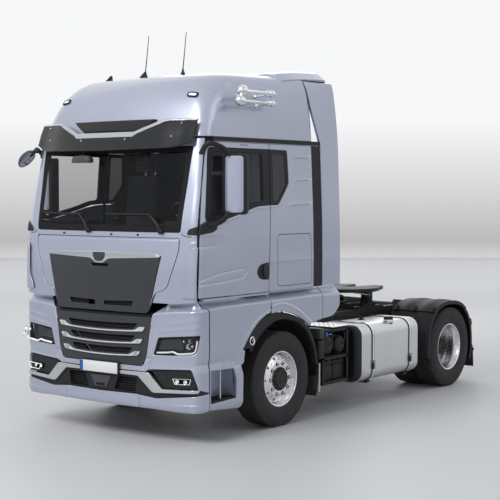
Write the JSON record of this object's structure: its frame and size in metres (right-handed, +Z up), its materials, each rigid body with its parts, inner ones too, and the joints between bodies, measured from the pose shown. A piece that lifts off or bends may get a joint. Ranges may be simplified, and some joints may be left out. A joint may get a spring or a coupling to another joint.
{
  "type": "semi truck tractor unit",
  "caption": "High-roof cab-over tractor unit with tilting cab, opening doors, front flap and lockers, steered front wheels, twin rear wheels and a coupling plate.",
  "frame": {"origin": "ground level under the middle of the truck's length and width", "axes": "+Z up, +X the truck's left side, -Y the way it drives"},
  "size_m": [2.964, 5.8227, 4.212],
  "materials": {
    "paint": "clear-coated metallic paint, light blue-grey",
    "dark_panel": "dark glossy moulding",
    "black_plastic": "black grained plastic",
    "glass": "tinted safety glass",
    "chrome": "bright plated",
    "alloy": "polished forged alloy",
    "tank_alloy": "brushed sheet aluminium",
    "tyre": "black tread rubber",
    "steel": "dark grey chassis paint on steel",
    "cast": "oiled cast iron",
    "cabin": "dark cabin trim",
    "lamp": "clear lamp lens",
    "red_lens": "red lamp lens"
  },
  "bodies": {
    "chassis": {"rail_left": "steel", "rail_right": "steel", "cross_members": "steel", "engine_and_driveline": "cast", "front_axle": "steel", "rear_axle": "steel", "front_bumper": "paint", "lower_grille": "dark_panel", "front_lamps": "lamp", "entry_panels": "paint", "cab_mounts": "steel", "front_mudguards": "black_plastic", "fuel_tank": "tank_alloy", "silencer_box": "steel", "side_carrier": "steel", "deck_plate": "steel", "rear_fenders": "black_plastic", "tail_lamps": "red_lens", "fifth_wheel_base": "cast"},
    "cab": {"cab_roof": "paint", "cab_front": "paint", "cab_side_left": "paint", "cab_side_right": "paint", "cab_rear_wall": "paint", "cab_floor": "steel", "cab_glass": "glass", "sun_visor": "dark_panel", "air_deflectors": "paint", "air_horns": "chrome", "roof_fittings": "black_plastic", "front_mirror": "black_plastic", "dashboard": "cabin", "seats_and_bunk": "cabin"},
    "front_flap": {"front_flap": "paint", "upper_grille": "dark_panel", "wing_strip": "chrome"},
    "fifth_wheel": {"fifth_wheel_plate": "cast"},
    "door_left": {"door_left": "paint", "door_glass_left": "glass", "mirror_left": "black_plastic"},
    "locker_lid_left": {"locker_lid_left": "paint"},
    "knuckle_left": {"knuckle_left": "cast"},
    "wheel_front_left": {"front_rim_left": "alloy", "front_tyre_left": "tyre"},
    "wheel_rear_left": {"rear_rims_left": "alloy", "rear_tyres_left": "tyre"},
    "door_right": {"door_right": "paint", "door_glass_right": "glass", "mirror_right": "black_plastic"},
    "locker_lid_right": {"locker_lid_right": "paint"},
    "knuckle_right": {"knuckle_right": "cast"},
    "wheel_front_right": {"front_rim_right": "alloy", "front_tyre_right": "tyre"},
    "wheel_rear_right": {"rear_rims_right": "alloy", "rear_tyres_right": "tyre"}
  },
  "joints": [
    {"name": "cab_tilt", "type": "hinge", "parent": "chassis", "child": "cab", "pos_m": [0, -2.77, 0.9], "axis": [1, 0, 0], "range_deg": [0, 60]},
    {"name": "front_flap_lift", "type": "hinge", "parent": "cab", "child": "front_flap", "pos_m": [0, -2.897, 2.044], "axis": [-1, 0, 0], "range_deg": [0, 80]},
    {"name": "fifth_wheel_tilt", "type": "hinge", "parent": "chassis", "child": "fifth_wheel", "pos_m": [0, 1.59, 1.12], "axis": [1, 0, 0], "range_deg": [-12, 12]},
    {"name": "door_left_swing", "type": "hinge", "parent": "cab", "child": "door_left", "pos_m": [1.197, -2.785, 2.05], "axis": [0, 0, -1], "range_deg": [0, 80]},
    {"name": "locker_lid_left_lift", "type": "hinge", "parent": "cab", "child": "locker_lid_left", "pos_m": [1.215, -1.192, 2.036], "axis": [0, -1, 0], "range_deg": [0, 80]},
    {"name": "steer_left", "type": "hinge", "parent": "chassis", "child": "knuckle_left", "pos_m": [0.9, -1.37, 0.507], "axis": [0, 0, 1], "range_deg": [-42, 42]},
    {"name": "wheel_front_left_spin", "type": "hinge", "parent": "knuckle_left", "child": "wheel_front_left", "pos_m": [1.033, -1.37, 0.507], "axis": [1, 0, 0], "continuous": true},
    {"name": "wheel_rear_left_spin", "type": "hinge", "parent": "chassis", "child": "wheel_rear_left", "pos_m": [1, 2.23, 0.507], "axis": [1, 0, 0], "continuous": true},
    {"name": "door_right_swing", "type": "hinge", "parent": "cab", "child": "door_right", "pos_m": [-1.197, -2.785, 2.05], "axis": [0, 0, 1], "range_deg": [0, 80]},
    {"name": "locker_lid_right_lift", "type": "hinge", "parent": "cab", "child": "locker_lid_right", "pos_m": [-1.215, -1.192, 2.036], "axis": [0, 1, 0], "range_deg": [0, 80]},
    {"name": "steer_right", "type": "hinge", "parent": "chassis", "child": "knuckle_right", "pos_m": [-0.9, -1.37, 0.507], "axis": [0, 0, 1], "range_deg": [-42, 42]},
    {"name": "wheel_front_right_spin", "type": "hinge", "parent": "knuckle_right", "child": "wheel_front_right", "pos_m": [-1.033, -1.37, 0.507], "axis": [1, 0, 0], "continuous": true},
    {"name": "wheel_rear_right_spin", "type": "hinge", "parent": "chassis", "child": "wheel_rear_right", "pos_m": [-1, 2.23, 0.507], "axis": [1, 0, 0], "continuous": true}
  ],
  "couplings": [
    {"joint": "steer_right", "follows": "steer_left", "ratio": 1}
  ]
}
